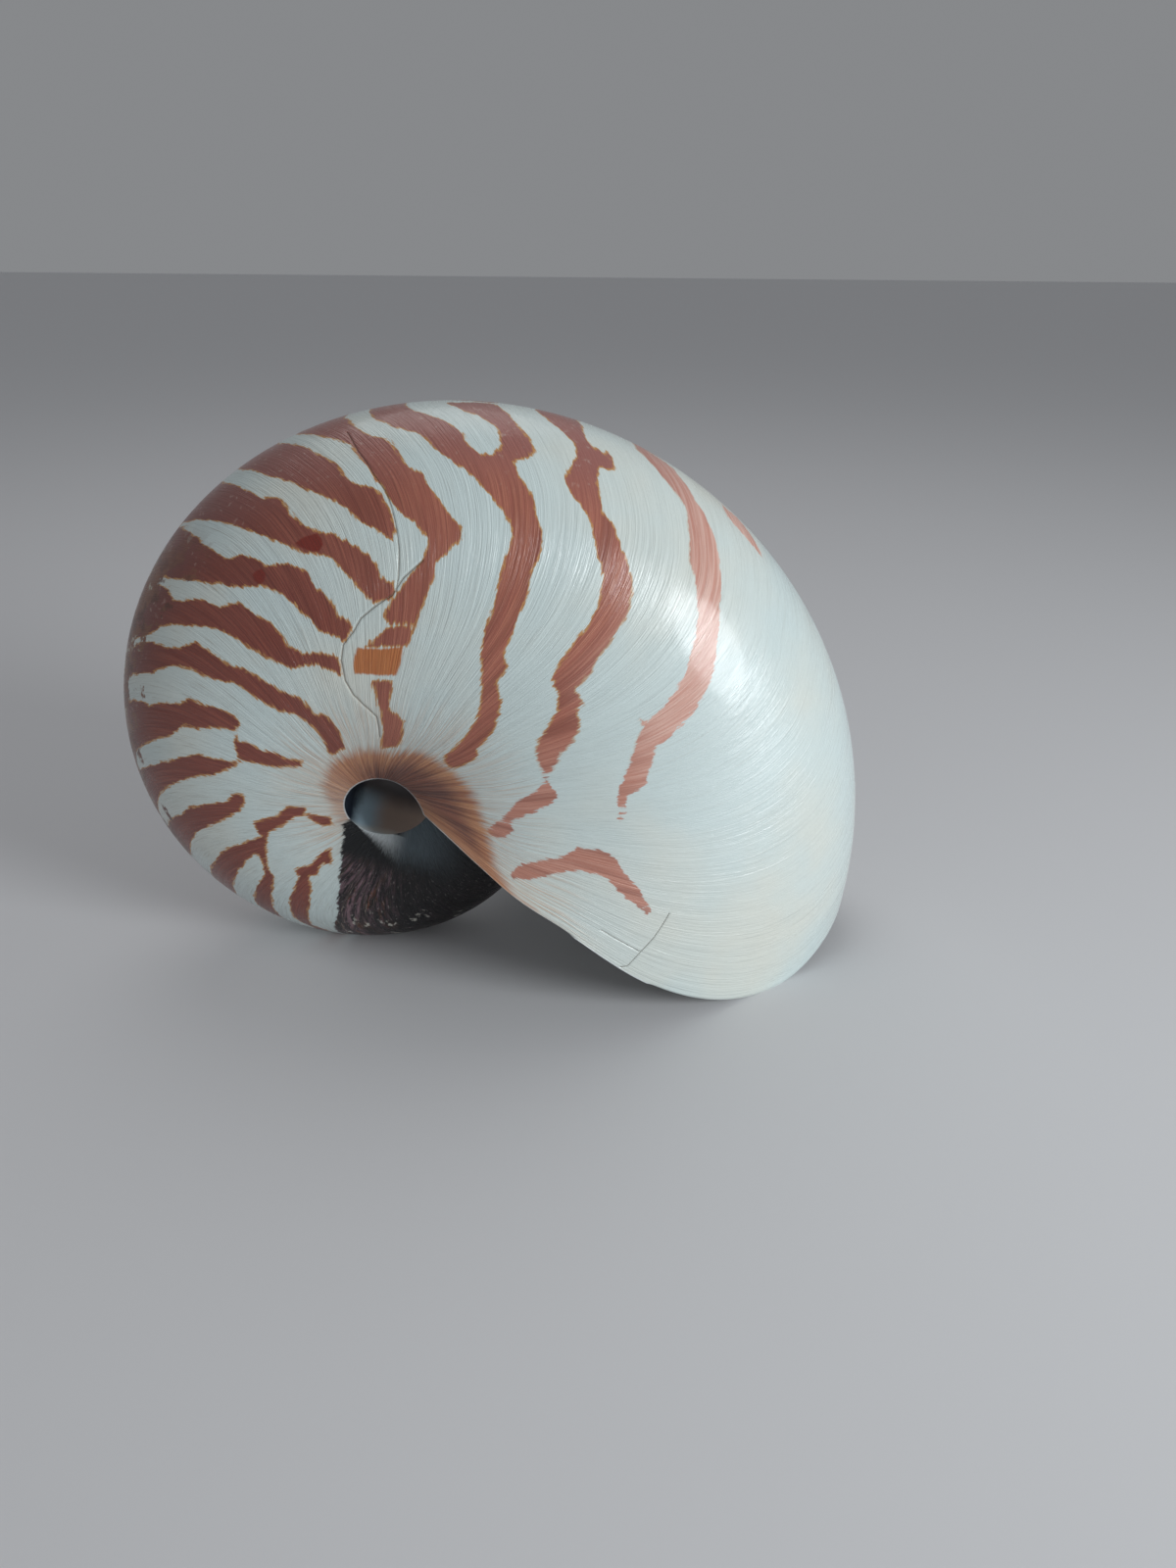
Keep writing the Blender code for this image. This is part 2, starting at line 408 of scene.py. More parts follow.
def flank_curve():
    """Points of one side of the whorl's section, keel first, as (distance from axis, breadth)."""
    keel = Vector((1.0, 0.0))
    widest = Vector((WIDEST_AT, HALF_BREADTH))
    rim = Vector((RIM_AT, RIM_BREADTH))
    shoulder = (keel + Vector((0.0, KEEL_HANDLE)), widest + Vector((SHOULDER_HANDLE, 0.0)))
    slope = (widest - Vector((FLANK_HANDLE, 0.0)), rim + RIM_HANDLE)
    outer = interpolate_bezier(keel, *shoulder, widest, CURVE_POINTS)
    inner = interpolate_bezier(widest, *slope, rim, CURVE_POINTS)
    return np.array([point[:] for point in outer + inner[1:]])


FLANK = flank_curve()
FLANK_STEP = np.diff(FLANK, axis=0)
FLANK_SHARE = np.append(0.0, np.cumsum(np.hypot(*FLANK_STEP.T)))
FLANK_SHARE /= FLANK_SHARE[-1]
FLANK_NORMAL = np.gradient(FLANK, axis=0)[:, ::-1] * (1.0, -1.0)
FLANK_NORMAL /= np.hypot(*FLANK_NORMAL.T)[:, None]
FLANK_LENGTH = float(np.hypot(*FLANK_STEP.T).sum())
SPIRAL_SLOPE = math.hypot(1.0, math.log(GROWTH_PER_TURN) / (2.0 * math.pi))


def ahead(share):
    """How far ahead of the reference direction the growth line runs, smoothed between its points."""
    place, angle = np.array(GROWTH_LINE).T
    slope = np.zeros(len(place))
    slope[1:-1] = (angle[2:] - angle[:-2]) / (place[2:] - place[:-2])
    slope[-1] = (angle[-1] - angle[-2]) / (place[-1] - place[-2])
    share = np.abs(share)
    i = np.clip(np.searchsorted(place, share, "right") - 1, 0, len(place) - 2)
    span = place[i + 1] - place[i]
    t = (share - place[i]) / span
    return (
        angle[i] * (1 + 2 * t) * (1 - t) ** 2
        + slope[i] * span * t * (1 - t) ** 2
        + angle[i + 1] * t * t * (3 - 2 * t)
        + slope[i + 1] * span * t * t * (t - 1)
    )


def on_shell(growth, share, lift=0.0):
    """Points of the outer surface at these growth angles and shares, moved outwards by the lift.

    A share below nought is on the near side.
    """
    growth, share, lift = np.broadcast_arrays(growth, share, lift)
    size = LIP_RADIUS * GROWTH_PER_TURN ** (growth / 360.0)
    apart = np.abs(share)
    radius, breadth = (np.interp(apart, FLANK_SHARE, FLANK[:, k]) * size for k in (0, 1))
    radius = radius + np.interp(apart, FLANK_SHARE, FLANK_NORMAL[:, 0]) * lift
    breadth = breadth + np.interp(apart, FLANK_SHARE, FLANK_NORMAL[:, 1]) * lift
    angle = np.radians(LIP_DIRECTION - growth)
    across = np.stack([radius * np.cos(angle), np.sign(share) * breadth, radius * np.sin(angle)], -1)
    return across + np.array(COIL_CENTRE)


def shell_place(points):
    """Growth angle, share and height above the outer surface of points near it."""
    away = np.asarray(points) - np.array(COIL_CENTRE)
    radius = np.hypot(away[:, 0], away[:, 2])
    direction = np.degrees(np.arctan2(away[:, 2], away[:, 0]))
    middle = np.array((WIDEST_AT, 0.0))
    seen = FLANK - middle
    seen_angle = np.arctan2(seen[:, 1], seen[:, 0])
    seen_reach = np.hypot(*seen.T)
    found = np.full((4, len(away)), np.inf)
    for turn in (0, -1, -2):
        growth = LIP_DIRECTION - direction + 360.0 * turn
        size = LIP_RADIUS * GROWTH_PER_TURN ** (growth / 360.0)
        x = radius / size - middle[0]
        y = np.abs(away[:, 1]) / size
        angle = np.arctan2(y, x)
        share = np.interp(angle, seen_angle, FLANK_SHARE)
        height = (np.hypot(x, y) - np.interp(angle, seen_angle, seen_reach)) * size
        line = growth - ahead(share)
        better = (np.abs(height) < np.abs(found[2])) & (line < NEWEST_LINE)
        found[:, better] = np.array([growth, share, height, line])[:, better]
    side = np.where(away[:, 1] < 0, -1.0, 1.0)
    return found[0], found[1] * side, found[2]


def select_only(thing):
    bpy.ops.object.select_all(action="DESELECT")
    thing.select_set(True)
    bpy.context.view_layer.objects.active = thing


def set_points(thing, points):
    thing.data.vertices.foreach_set("co", np.asarray(points, np.float32).ravel())
    thing.data.update()


def get_points(thing):
    points = np.empty(len(thing.data.vertices) * 3, np.float32)
    thing.data.vertices.foreach_get("co", points)
    return points.reshape(-1, 3).astype(float)


def edit_select(thing, picked):
    """Goes to edit mode with these vertices of the piece selected and no others."""
    select_only(thing)
    bpy.ops.object.mode_set(mode="EDIT")
    bpy.ops.mesh.select_mode(type="VERT")
    bpy.ops.mesh.select_all(action="DESELECT")
    bpy.ops.object.mode_set(mode="OBJECT")
    thing.data.vertices.foreach_set("select", picked)
    bpy.ops.object.mode_set(mode="EDIT")
    bpy.ops.mesh.select_mode(type="EDGE")


def extrude_round(steps, turn):
    """Extrudes the selected edge step by step, turning and shrinking it as the shell grew."""
    scale = GROWTH_PER_TURN ** (turn / 360.0)
    for _ in range(steps):
        bpy.ops.mesh.extrude_edges_move()
        bpy.ops.transform.rotate(value=-math.radians(turn), orient_axis="Y", center_override=COIL_CENTRE)
        bpy.ops.transform.resize(value=(scale, scale, scale), center_override=COIL_CENTRE)


def strip(name, rows):
    """A grid primitive with its rows laid along the given lines of points."""
    bpy.ops.object.select_all(action="DESELECT")
    bpy.ops.mesh.primitive_grid_add(x_subdivisions=len(rows[0]) - 1, y_subdivisions=len(rows) - 1, size=2.0)
    made = bpy.context.object
    made.name = name
    set_points(made, np.concatenate(rows))
    return made


def row_picked(thing, first, count):
    picked = np.zeros(len(thing.data.vertices), bool)
    picked[first : first + count] = True
    return picked


def picked_now(thing):
    bpy.ops.object.mode_set(mode="OBJECT")
    picked = np.empty(len(thing.data.vertices), bool)
    thing.data.vertices.foreach_get("select", picked)
    return picked


def last_whorl():
    """The outer form: one whole turn of growth lines, closed across the mouth and both umbilici."""
    share = np.linspace(-1.0, 1.0, 2 * ACROSS + 1)
    rows = [on_shell(turn + ahead(share), share, lift) for turn, lift in LIP_EDGE]
    whorl = strip("nautilus_shell", rows)
    start = LIP_EDGE[-1][0]
    edit_select(whorl, row_picked(whorl, (len(rows) - 1) * len(share), len(share)))
    extrude_round(round((360.0 + start) / TURN_STEP), -TURN_STEP)
    ends = picked_now(whorl)
    ends[: len(share)] = True
    edit_select(whorl, ends)
    bpy.ops.mesh.bridge_edge_loops()
    bpy.ops.mesh.select_all(action="DESELECT")
    bpy.ops.mesh.select_non_manifold()
    rims = picked_now(whorl)
    near = get_points(whorl)[:, 1] < 0.0
    for picked, side in ((rims & near, -1.0), (rims & ~near, 1.0)):
        grown = np.zeros(len(whorl.data.vertices), bool)
        grown[: len(picked)] = picked
        edit_select(whorl, grown)
        bpy.ops.mesh.extrude_edges_move()
        bpy.ops.mesh.merge(type="CENTER")
        bpy.ops.object.mode_set(mode="OBJECT")
        whorl.data.vertices[-1].co = COIL_CENTRE + Vector((0.0, side * UMBILICUS_DEPTH, 0.0))
    face_outwards(whorl)
    return whorl


def face_outwards(thing):
    edit_select(thing, np.ones(len(thing.data.vertices), bool))
    bpy.ops.mesh.select_all(action="SELECT")
    bpy.ops.mesh.normals_make_consistent(inside=False)
    bpy.ops.object.mode_set(mode="OBJECT")


def chamber_start(finishes):
    """The chamber's first stretch, past the lip: the wall in one finish and the coil in the other."""
    share = np.linspace(-CHAMBER_END, CHAMBER_END, CHAMBER_ACROSS + 1)
    rows = []
    for turn in (CUT_BEYOND_LIP, CUT_BEYOND_LIP - CHAMBER_STEP):
        thick = GROWTH_PER_TURN ** (turn / 360.0)
        wall = on_shell(turn + ahead(share), share, -WALL * thick)
        floor = on_shell(turn - 360.0 + ahead(share), share, FILM_STEP * thick)
        rows.append(np.concatenate([wall, floor[::-1], wall[:1]]))
    chamber = strip("chamber", rows)
    for finish in finishes:
        chamber.data.materials.append(finish)
    for number, face in enumerate(chamber.data.polygons):
        face.material_index = 1 if number >= len(share) else 0
    edit_select(chamber, row_picked(chamber, 0, len(chamber.data.vertices)))
    bpy.ops.mesh.select_all(action="SELECT")
    bpy.ops.mesh.remove_doubles(threshold=WELD_DISTANCE)
    bpy.ops.object.mode_set(mode="OBJECT")
    return chamber


def close_back(chamber):
    """Draws the selected ring at the chamber's back together into the dome of the last septum."""
    back = picked_now(chamber)
    middle = Vector(get_points(chamber)[back].mean(axis=0))
    edit_select(chamber, back)
    for ring in range(1, SEPTUM_RINGS):
        angle, before = (math.radians(90.0 * k / SEPTUM_RINGS) for k in (ring, ring - 1))
        deeper = math.radians(SEPTUM_DEPTH) * (math.sin(angle) - math.sin(before))
        smaller = math.cos(angle) / math.cos(before)
        bpy.ops.mesh.extrude_edges_move()
        bpy.ops.transform.resize(value=(smaller, smaller, smaller), center_override=middle)
        bpy.ops.transform.rotate(value=deeper, orient_axis="Y", center_override=COIL_CENTRE)
    bpy.ops.mesh.extrude_edges_move()
    bpy.ops.mesh.merge(type="CENTER")
    bpy.ops.object.mode_set(mode="OBJECT")


def close_front(chamber):
    """Bridges the wall's edge to the coil's at the chamber's front."""
    edit_select(chamber, row_picked(chamber, 0, CHAMBER_RING))
    bpy.ops.object.mode_set(mode="OBJECT")
    half = CHAMBER_RING // 2
    for edge in chamber.data.edges:
        if edge.select and edge.vertices[0] // half != edge.vertices[1] // half:
            edge.select = False
    bpy.ops.object.mode_set(mode="EDIT")
    bpy.ops.mesh.bridge_edge_loops()
    bpy.ops.object.mode_set(mode="OBJECT")


def living_chamber(finishes):
    """The hollow of the living chamber, drawn back from past the lip to the last septum."""
    chamber = chamber_start(finishes)
    edit_select(chamber, row_picked(chamber, CHAMBER_RING, CHAMBER_RING))
    steps = round((CUT_BEYOND_LIP - CHAMBER_STEP + CHAMBER_LENGTH) / CHAMBER_STEP)
    extrude_round(steps, -CHAMBER_STEP)
    close_back(chamber)
    close_front(chamber)
    face_outwards(chamber)
    return chamber


def umbilical_hollows(finish):
    """The two smooth hollows where the lip arches over the coil, one on each side."""
    bpy.ops.object.select_all(action="DESELECT")
    balls = []
    for side in (-1.0, 1.0):
        centre = COIL_CENTRE + HOLLOW_CENTRE * Vector((1.0, side, 1.0))
        bpy.ops.mesh.primitive_uv_sphere_add(
            segments=HOLLOW_SEGMENTS, ring_count=HOLLOW_SEGMENTS // 2, radius=1.0, location=centre
        )
        made = bpy.context.object
        made.scale = HOLLOW_RADII
        made.rotation_euler = (0.0, HOLLOW_TILT, 0.0)
        bpy.ops.object.transform_apply(location=True, rotation=True, scale=True)
        made.data.materials.append(finish)
        balls.append(made)
    for ball in balls:
        ball.select_set(True)
    bpy.ops.object.join()
    return bpy.context.object


def cut(thing, cutter):
    select_only(thing)
    modifier = thing.modifiers.new("cut", "BOOLEAN")
    modifier.operation = "DIFFERENCE"
    modifier.solver = "EXACT"
    modifier.material_mode = "TRANSFER"
    modifier.object = cutter
    bpy.ops.object.modifier_apply(modifier=modifier.name)
    bpy.data.objects.remove(cutter, do_unlink=True)


def resting_plane(finish):
    """A block whose top is the surface the shell rests on, which wears its lowest points flat."""
    side = 4.0 * LIP_RADIUS
    bpy.ops.object.select_all(action="DESELECT")
    bpy.ops.mesh.primitive_cube_add(size=side, location=(0.0, 0.0, -side / 2.0))
    made = bpy.context.object
    made.data.materials.append(finish)
    return made


def camera_axes():
    """The camera's place and its right, up and back directions."""
    around, above, roll = (math.radians(angle) for angle in (AZIMUTH, ELEVATION, ROLL))
    level = math.cos(above)
    back = Vector((math.sin(around) * level, -math.cos(around) * level, math.sin(above)))
    right = Vector((math.cos(around), math.sin(around), 0.0))
    up = back.cross(right)
    aim = COIL_CENTRE + right * AIM_RIGHT + up * AIM_UP
    tilted_right = right * math.cos(roll) + up * math.sin(roll)
    tilted_up = up * math.cos(roll) - right * math.sin(roll)
    return aim + back * DISTANCE, tilted_right, tilted_up, back


def photo_camera():
    eye, right, up, back = camera_axes()
    data = bpy.data.cameras.new("photo camera")
    data.lens = LENS
    data.sensor_width = SENSOR
    camera = bpy.data.objects.new("photo camera", data)
    bpy.context.scene.collection.objects.link(camera)
    turned = Matrix((right, up, back)).transposed().to_4x4()
    camera.matrix_world = Matrix.Translation(eye) @ turned
    bpy.context.scene.camera = camera


def places_in_photo(tree, pixels):
    """Growth line and share of the surface seen at these pixels.

    A pixel past the shell's outline is moved towards its middle until it meets the surface.
    """
    eye, right, up, back = camera_axes()
    focal = LENS / SENSOR * PHOTO_HEIGHT
    seen = []
    for x, y in pixels:
        hit = None
        while hit is None:
            across = (x - PHOTO_WIDTH / 2.0) / focal
            down = (y - PHOTO_HEIGHT / 2.0) / focal
            hit = tree.ray_cast(eye, right * across - up * down - back)[0]
            x += (SHELL_MIDDLE[0] - x) * NUDGE
            y += (SHELL_MIDDLE[1] - y) * NUDGE
        seen.append(hit)
    growth, share, _ = shell_place(seen)
    return growth - ahead(share), -share


def over_the_keel(line, share):
    """Closes an outline that begins and ends at the shell's outline, across the keel."""
    line = np.concatenate([line[:1], line, line[-1:]])
    share = np.concatenate([[-OVER_KEEL], share, [-OVER_KEEL]])
    return line, share


def distance_to(outline, line, share, closed=True):
    """Distance in metres over the surface to an outline, below nought inside it if it is closed."""
    outline_line, outline_share = outline
    radius = np.interp(share, FLANK_SHARE, FLANK[:, 0])
    per_degree = np.radians(1.0) * radius * SPIRAL_SLOPE
    nearest = np.full(len(line), np.inf)
    inside = np.zeros(len(line), bool)
    for i in range(0 if closed else 1, len(outline_line)):
        x1, y1 = outline_line[i - 1], outline_share[i - 1]
        x2, y2 = outline_line[i], outline_share[i]
        along_x = (x2 - x1) * per_degree
        along_y = (y2 - y1) * FLANK_LENGTH
        away_x = (line - x1) * per_degree
        away_y = (share - y1) * FLANK_LENGTH
        length = np.maximum(along_x**2 + along_y**2, NOUGHT)
        t = np.clip((away_x * along_x + away_y * along_y) / length, 0.0, 1.0)
        nearest = np.minimum(nearest, (away_x - t * along_x) ** 2 + (away_y - t * along_y) ** 2)
        if closed and y1 != y2:
            crosses = (y1 > share) != (y2 > share)
            inside ^= crosses & (line < (x2 - x1) * (share - y1) / (y2 - y1) + x1)
    size = LIP_RADIUS * GROWTH_PER_TURN ** ((line + ahead(share)) / 360.0)
    return np.sqrt(nearest) * size * np.where(inside, -1.0, 1.0)


def on_near_side(points):
    """The points, with those of the far side mirrored to the near side."""
    return points * (1.0, 0.0, 1.0) - np.abs(points) * (0.0, 1.0, 0.0)


def in_photo(points):
    """The photograph's pixels where the camera would see these points, all on the near side."""
    eye, right, up, back = (np.array(axis) for axis in camera_axes())
    away = on_near_side(points) - eye
    focal = LENS / SENSOR * PHOTO_HEIGHT
    depth = -(away @ back)
    across = PHOTO_WIDTH / 2.0 + focal * (away @ right) / depth
    down = PHOTO_HEIGHT / 2.0 - focal * (away @ up) / depth
    return across, down


def store(thing, name, kind, values):
    """Keeps a value for every point of the mesh."""
    layer = thing.data.attributes.new(name, kind, "POINT")
    key = "vector" if kind == "FLOAT_VECTOR" else "value"
    layer.data.foreach_set(key, np.asarray(values, np.float32).ravel())


def crack_distance(tree, points):
    """How far each point is from the near side's hairlines, in half widths of them and in metres."""
    growth, share, _ = shell_place(points)
    line = growth - ahead(share)
    nearest = np.full(len(line), np.inf)
    widths = np.full(len(line), np.inf)
    for half_width, pixels in HAIRLINES:
        gap = distance_to(places_in_photo(tree, pixels), line, np.abs(share), closed=False)
        gap = np.where(share < 0.0, gap, FAR_OFF)
        nearest = np.minimum(nearest, gap)
        widths = np.minimum(widths, gap * MM_PER_METRE / half_width)
    return widths, nearest


def open_cracks(shell, tree):
    """Cuts the mesh finer near the hairlines, sets it on the true surface and sinks a groove along each."""
    for reach in CRACK_REACH:
        edit_select(shell, crack_distance(tree, get_points(shell))[1] < reach)
        bpy.ops.mesh.subdivide(number_cuts=1)
        bpy.ops.object.mode_set(mode="OBJECT")
    points = get_points(shell)
    widths, nearest = crack_distance(tree, points)
    growth, share, _ = shell_place(points)
    depth = CRACK_DEPTH * np.exp(-((widths / CRACK_SPREAD) ** 2))
    close = nearest < CRACK_SETTLED
    points[close] = on_shell(growth, share, -depth)[close]
    set_points(shell, points)


def flame_distance(tree, line, share):
    """Distance to the nearest flame's edge. The far side's flames stray a little from the near side's."""
    apart = np.abs(share)
    wave = FAR_STRAY * np.sin(line / FAR_WAVE) * np.clip(apart / FULL_STRAY_FROM, 0.0, 1.0)
    strayed = line + np.where(share < 0.0, 0.0, wave)
    nearest = np.full(len(line), np.inf)
    for pixels in KEEL_FLAMES.values():
        outline = over_the_keel(*places_in_photo(tree, pixels))
        nearest = np.minimum(nearest, distance_to(outline, strayed, apart))
    for pixels in SIDE_FLAMES.values():
        nearest = np.minimum(nearest, distance_to(places_in_photo(tree, pixels), strayed, apart))
    return nearest


def callus_distance(tree, line, apart):
    """Distance to the edge of the callus, which runs on past the lip and past the umbilicus."""
    edge_line, edge_share = places_in_photo(tree, CALLUS_FAN)
    edge_line = np.concatenate([edge_line, [AHEAD_OF_LIP, AHEAD_OF_LIP, edge_line[0]]])
    edge_share = np.concatenate([edge_share, [edge_share[-1], PAST_UMBILICUS, PAST_UMBILICUS]])
    return distance_to((edge_line, edge_share), line, apart)


def film_distance(tree, line, apart):
    """Distance to the edge of the dark film, which covers all the older growth lines."""
    edge_line, edge_share = places_in_photo(tree, FILM_EDGE)
    edge_line = np.concatenate([edge_line[:1], edge_line, edge_line[-1:], [OLDEST_LINE, OLDEST_LINE]])
    edge_share = np.concatenate([[PAST_UMBILICUS], edge_share, [-OVER_KEEL, -OVER_KEEL, PAST_UMBILICUS]])
    return distance_to((edge_line, edge_share), line, apart)


def ridge_place(points):
    """Millimetres along the ridge from its left end, and under it, as the camera sees these points."""
    seen_x, seen_y = in_photo(points)
    slant = math.radians(RIDGE_SLANT)
    aside = (seen_x - RIDGE_TIP[0]) * MM_PER_PIXEL
    below = (seen_y - RIDGE_TIP[1]) * MM_PER_PIXEL
    along = aside * math.cos(slant) + below * math.sin(slant)
    under = below * math.cos(slant) - aside * math.sin(slant)
    return along, under


def rim_distance(points, line, apart):
    """Distance to the edge of the hollow, or to the lip where that is nearer."""
    upright = np.array(Matrix.Rotation(HOLLOW_TILT, 3, "Y"))
    away = (on_near_side(points) - np.array(COIL_CENTRE + HOLLOW_CENTRE)) @ upright
    in_radii = np.sqrt(((away / np.array(HOLLOW_RADII)) ** 2).sum(axis=1))
    hollow = np.abs(in_radii - 1.0) * HOLLOW_RADII.x
    lip = distance_to((np.zeros(2), np.array((LIP_RIM_FROM, 1.0))), line, apart, closed=False)
    return np.minimum(hollow, lip)


def mark_surface(shell, tree):
    """Writes onto the mesh where each point lies on the shell and how far it is from each marking."""
    points = get_points(shell)
    growth, share, height = shell_place(points)
    line = growth - ahead(share)
    apart = np.abs(share)
    side_off = np.where(share < 0.0, 0.0, FAR_OFF)
    spots = [distance_to(places_in_photo(tree, pixels), line, apart) for pixels in DARK_SPOTS]
    distances = {
        "flame_edge": flame_distance(tree, line, share),
        "callus": callus_distance(tree, line, apart),
        "film_edge": film_distance(tree, line, apart),
        "rim": rim_distance(points, line, apart),
        "scar": distance_to(places_in_photo(tree, SCAR_PATCH), line, apart) + side_off,
        "spot": np.minimum.reduce(spots) + side_off,
    }
    for name, distance in distances.items():
        store(shell, name, "FLOAT", distance * MM_PER_METRE)
    store(shell, "place", "FLOAT_VECTOR", np.stack([line, share, height * MM_PER_METRE], -1))
    store(shell, "ridge", "FLOAT_VECTOR", np.stack([*ridge_place(points), apart], -1))
    store(shell, "crack", "FLOAT", crack_distance(tree, points)[0])


class Recipe:
    """Adds nodes to one tree. A number or colour given in place of a socket is set on the node."""

    def __init__(self, tree):
        self.tree = tree

    def add(self, kind, feeds=None, **settings):
        made = self.tree.nodes.new("ShaderNode" + kind)
        for name, value in settings.items():
            setattr(made, name, value)
        for name, value in (feeds or {}).items():
            self.feed(made.inputs[name], value)
        return made

    def feed(self, socket, value):
        if isinstance(value, bpy.types.NodeSocket):
            self.tree.links.new(value, socket)
        else:
            socket.default_value = value

    def calc(self, operation, *values):
        return self.add("Math", dict(enumerate(values)), operation=operation).outputs[0]

    def total(self, first, second):
        return self.calc("ADD", first, second)

    def product(self, first, *others):
        for other in others:
            first = self.calc("MULTIPLY", first, other)
        return first

    def step(self, value, start, end, low=0.0, high=1.0):
        """Runs smoothly from low to high as the value goes from start to end."""
        feeds = {0: value, 1: start, 2: end, 3: low, 4: high}
        return self.add("MapRange", feeds, interpolation_type="SMOOTHSTEP").outputs[0]

    def mix(self, share, first, second):
        made = self.add("Mix", data_type="RGBA")
        for number, value in ((0, share), (6, first), (7, second)):
            self.feed(made.inputs[number], value)
        return made.outputs[2]

    def noise(self, vector, scale, detail=3.0, roughness=0.55, distortion=0.0):
        feeds = {
            "Vector": vector,
            "Scale": scale,
            "Detail": detail,
            "Roughness": roughness,
            "Distortion": distortion,
        }
        return self.add("TexNoise", feeds).outputs[0]

    def streaks(self, place, across, along, detail, roughness=0.55):
        """Noise drawn out along the growth lines.

        Across them it turns about so often in a degree, and along them on the way from keel to umbilicus.
        """
        drawn_out = self.add("VectorMath", {0: place, 1: (across, along, 0.0)}, operation="MULTIPLY")
        return self.noise(drawn_out.outputs[0], 1.0, detail, roughness)

    def stray(self, noise, width):
        """Noise that strays to both sides of nought, over about this width."""
        return self.product(self.calc("SUBTRACT", noise, 0.5), width)

    def read(self, name, output="Fac"):
        return self.add("Attribute", attribute_name=name).outputs[output]

    def parts(self, vector):
        return self.add("SeparateXYZ", {0: vector}).outputs

    def where(self):
        return self.add("TexCoord").outputs["Object"]

    def group(self, effect, **feeds):
        made = self.add("Group")
        made.node_tree = effect
        for name, value in feeds.items():
            self.feed(made.inputs[name.replace("_", " ")], value)
        return made.outputs


def new_effect(name, inputs, outputs):
    """An empty shader node group with named sockets: its tree, recipe, input sockets and output node."""
    tree = bpy.data.node_groups.new(name, "ShaderNodeTree")
    for label, kind in inputs.items():
        tree.interface.new_socket(name=label, in_out="INPUT", socket_type="NodeSocket" + kind)
    for label, kind in outputs.items():
        tree.interface.new_socket(name=label, in_out="OUTPUT", socket_type="NodeSocket" + kind)
    start = tree.nodes.new("NodeGroupInput")
    end = tree.nodes.new("NodeGroupOutput")
    return tree, Recipe(tree), start.outputs, end


def growth_lines_effect():
    """Fine striation along the growth lines, from the place on the shell."""
    tree, recipe, given, end = new_effect(
        "growth lines",
        {"Place": "Vector"},
        {"Fine": "Float", "Thread": "Float", "Broad": "Float", "Height": "Float"},
    )
    fine = recipe.streaks(given["Place"], across=1.9, along=5.0, detail=4.0, roughness=0.62)
    threads = recipe.streaks(given["Place"], across=4.2, along=9.0, detail=2.0, roughness=0.5)
    broad = recipe.streaks(given["Place"], across=0.32, along=2.2, detail=3.0, roughness=0.5)
    height = recipe.total(recipe.product(fine, 0.6), recipe.product(threads, 0.4))
    height = recipe.total(height, recipe.product(broad, 0.9))
    for name, value in (("Fine", fine), ("Thread", threads), ("Broad", broad), ("Height", height)):
        recipe.feed(end.inputs[name], value)
    return tree


def pearl_effect():
    """Soft bands of pink, green and blue, as nacre shows them."""
    tree, recipe, given, end = new_effect(
        "pearl", {"Place": "Vector", "Depth of Tint": "Float"}, {"Colour": "Color"}
    )
    bands = recipe.noise(recipe.where(), 38.0, 2.0, 0.5, 1.2)
    ripple = recipe.streaks(given["Place"], across=0.12, along=3.0, detail=2.0)
    turn = recipe.total(bands, recipe.product(ripple, 0.7))
    rose = recipe.step(recipe.calc("SINE", recipe.product(turn, 14.0)), -0.6, 0.9)
    green = recipe.step(recipe.calc("SINE", recipe.product(turn, 9.0)), 0.0, 1.0)
    tinted = recipe.mix(rose, *PEARL_ROSES)
    tinted = recipe.mix(recipe.product(green, 0.5), tinted, PEARL_GREEN)
    recipe.feed(end.inputs["Colour"], recipe.mix(given["Depth of Tint"], PEARL_PLAIN, tinted))
    return tree


def film_streaks(recipe, place, film_edge, streak):
    """The film's colour: mauve and rust streaks, black folds with pale creases, flecks and worn places."""
    tint = recipe.streaks(place, across=0.2, along=6.0, detail=4.0, roughness=0.65)
    mauve = recipe.mix(recipe.step(streak, 0.42, 0.6), *FILM_MAUVES)
    rust = recipe.mix(recipe.step(streak, 0.44, 0.62), *FILM_RUSTS)
    colour = recipe.mix(recipe.step(tint, 0.5, 0.6), mauve, rust)
    folds = recipe.streaks(place, across=0.34, along=1.6, detail=2.0, roughness=0.6)
    colour = recipe.mix(recipe.step(folds, 0.46, 0.56, 0.0, 0.75), colour, FILM_FOLD)
    crease = recipe.calc("ABSOLUTE", recipe.calc("SUBTRACT", folds, 0.56))
    colour = recipe.mix(recipe.step(crease, 0.008, 0.002, 0.0, 0.6), colour, FILM_CREASE)
    inner = recipe.total(film_edge, recipe.product(streak, 8.0))
    colour = recipe.mix(recipe.step(inner, *FILM_BLACKENS, 0.0, 0.92), colour, FILM_INNER)
    fleck = recipe.streaks(place, across=1.3, along=34.0, detail=5.0, roughness=0.75)
    colour = recipe.mix(recipe.step(fleck, 0.59, 0.67, 0.0, 0.85), colour, FILM_FLECK)
    worn = recipe.streaks(place, across=0.22, along=11.0, detail=6.0, roughness=0.68)
    low = recipe.step(recipe.parts(recipe.where())["Z"], *FILM_WEAR)
    return recipe.mix(recipe.product(recipe.step(worn, 0.59, 0.62), low), colour, FILM_WORN)


